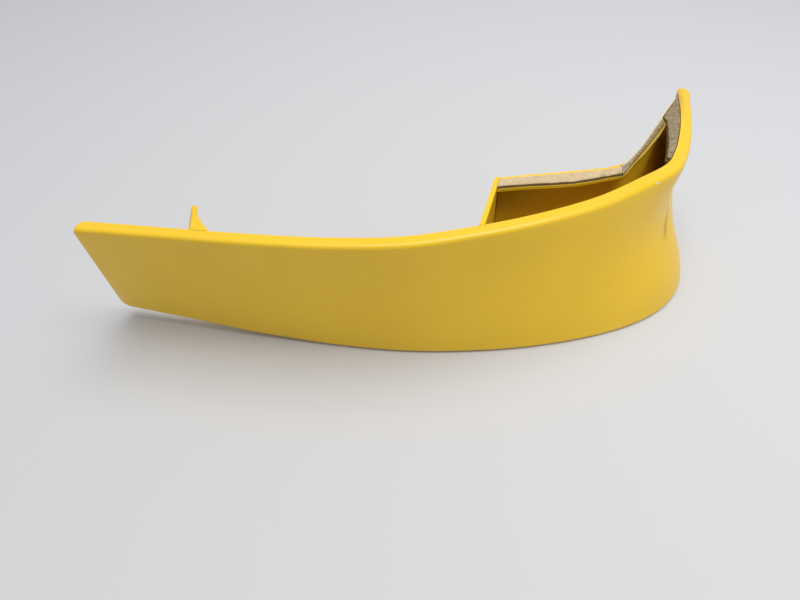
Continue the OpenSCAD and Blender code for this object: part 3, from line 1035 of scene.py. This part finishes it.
def drill_tab(tab):
    """Cuts the screw hole across the tab."""
    hole = next(m for m in frame["record"]["mounts"] if m["name"] == "tab_hole")
    radius = HOLE_D / 2 * MM
    bm = bmesh.new()
    bmesh.ops.create_cone(bm, cap_ends=True, segments=48, radius1=radius, radius2=radius,
                          depth=DRILL_LEN)
    bm.transform(Vector(hole["axis"]).to_track_quat("Z", "Y").to_matrix().to_4x4())
    bmesh.ops.translate(bm, verts=bm.verts, vec=Vector(hole["pos_m"]))
    mesh = bpy.data.meshes.new("drill")
    bm.to_mesh(mesh)
    bm.free()
    drill = bpy.data.objects.new("drill", mesh)
    bpy.context.scene.collection.objects.link(drill)
    cut = tab.modifiers.new("hole", "BOOLEAN")
    cut.object = drill
    cut.solver = "EXACT"
    bpy.context.view_layer.update()
    shown = tab.evaluated_get(bpy.context.evaluated_depsgraph_get())
    done = bpy.data.meshes.new_from_object(shown)
    tab.modifiers.clear()
    tab.data = done
    bpy.data.objects.remove(drill)
    tab.data.shade_smooth()
    tab.data.set_sharp_from_angle(angle=math.radians(TAB_SMOOTH_DEGREES))


def dress_cad_nodes():
    """Materials for the CAD nodes that stay: the core and the adhesive."""
    for node, slot in (("blade_core", "core_foam"), ("bond_blade_lip", "adhesive"),
                       ("bond_floor_lip", "adhesive"), ("tab_bond", "adhesive")):
        data = frame["nodes"][node].data
        data.materials.clear()
        data.materials.append(MATERIALS[slot])


# ---------------------------------------------------------------- stage
FLOOR_REACH = 6.0
FLOOR_COLOUR = (0.58, 0.58, 0.59, 1)
SKY_COLOUR = (0.95, 0.97, 1.0, 1)
SKY_STRENGTH = 0.5
CAMERA_AT = (0, -379, 464)  # in the tables' millimetres
CAMERA_PITCH = 44
LENS, SENSOR = 27, 36


def make_floor_plane():
    material, shader = new_material("pale_floor", 0.85)
    shader.inputs["Base Color"].default_value = FLOOR_COLOUR
    mesh = bpy.data.meshes.new("studio_floor")
    r = FLOOR_REACH
    mesh.from_pydata([(-r, -r, 0), (r, -r, 0), (r, r, 0), (-r, r, 0)], [], [(0, 1, 2, 3)])
    mesh.materials.append(material)
    floor = bpy.data.objects.new("studio_floor", mesh)
    bpy.context.scene.collection.objects.link(floor)


def add_area(name, spot, target, size, power):
    light = bpy.data.lights.new(name, "AREA")
    light.shape = "DISK"
    light.size = size
    light.energy = power
    holder = bpy.data.objects.new(name, light)
    holder.location = spot
    aim = Vector(target) - Vector(spot)
    holder.rotation_euler = aim.to_track_quat("-Z", "Y").to_euler()
    bpy.context.scene.collection.objects.link(holder)


def make_lights():
    world = bpy.data.worlds.new("soft_sky")
    world.use_nodes = True
    sky = world.node_tree.nodes["Background"]
    sky.inputs["Color"].default_value = SKY_COLOUR
    sky.inputs["Strength"].default_value = SKY_STRENGTH
    bpy.context.scene.world = world
    add_area("overhead", (0.35, 0.15, 2.4), (0, 0, 0.05), size=2.2, power=42)
    add_area("right_fill", (0.78, -0.4, 1.6), (0.22, 0, 0.09), size=0.6, power=6.5)


def plain_colours():
    """Plain display of colours, so that the strong yellow is not greyed."""
    bpy.context.scene.view_settings.view_transform = "Standard"
    bpy.context.scene.view_settings.look = "None"


def make_camera():
    """Camera at the height, distance and pitch of the reference view."""
    data = bpy.data.cameras.new("camera")
    data.lens = LENS
    data.sensor_width = SENSOR
    data.dof.use_dof = False
    camera = bpy.data.objects.new("camera", data)
    camera.location = place(CAMERA_AT)
    camera.rotation_euler = (math.radians(CAMERA_PITCH), 0, 0)
    bpy.context.scene.collection.objects.link(camera)
    bpy.context.scene.camera = camera


make_front_skin()
make_blade_back()
make_end_plug()
make_end_wall()
make_back_wall()
make_floor()
make_shelf()
make_tapes()
make_tab()
dress_cad_nodes()
make_floor_plane()
make_lights()
plain_colours()
make_camera()

bpy.context.view_layer.update()
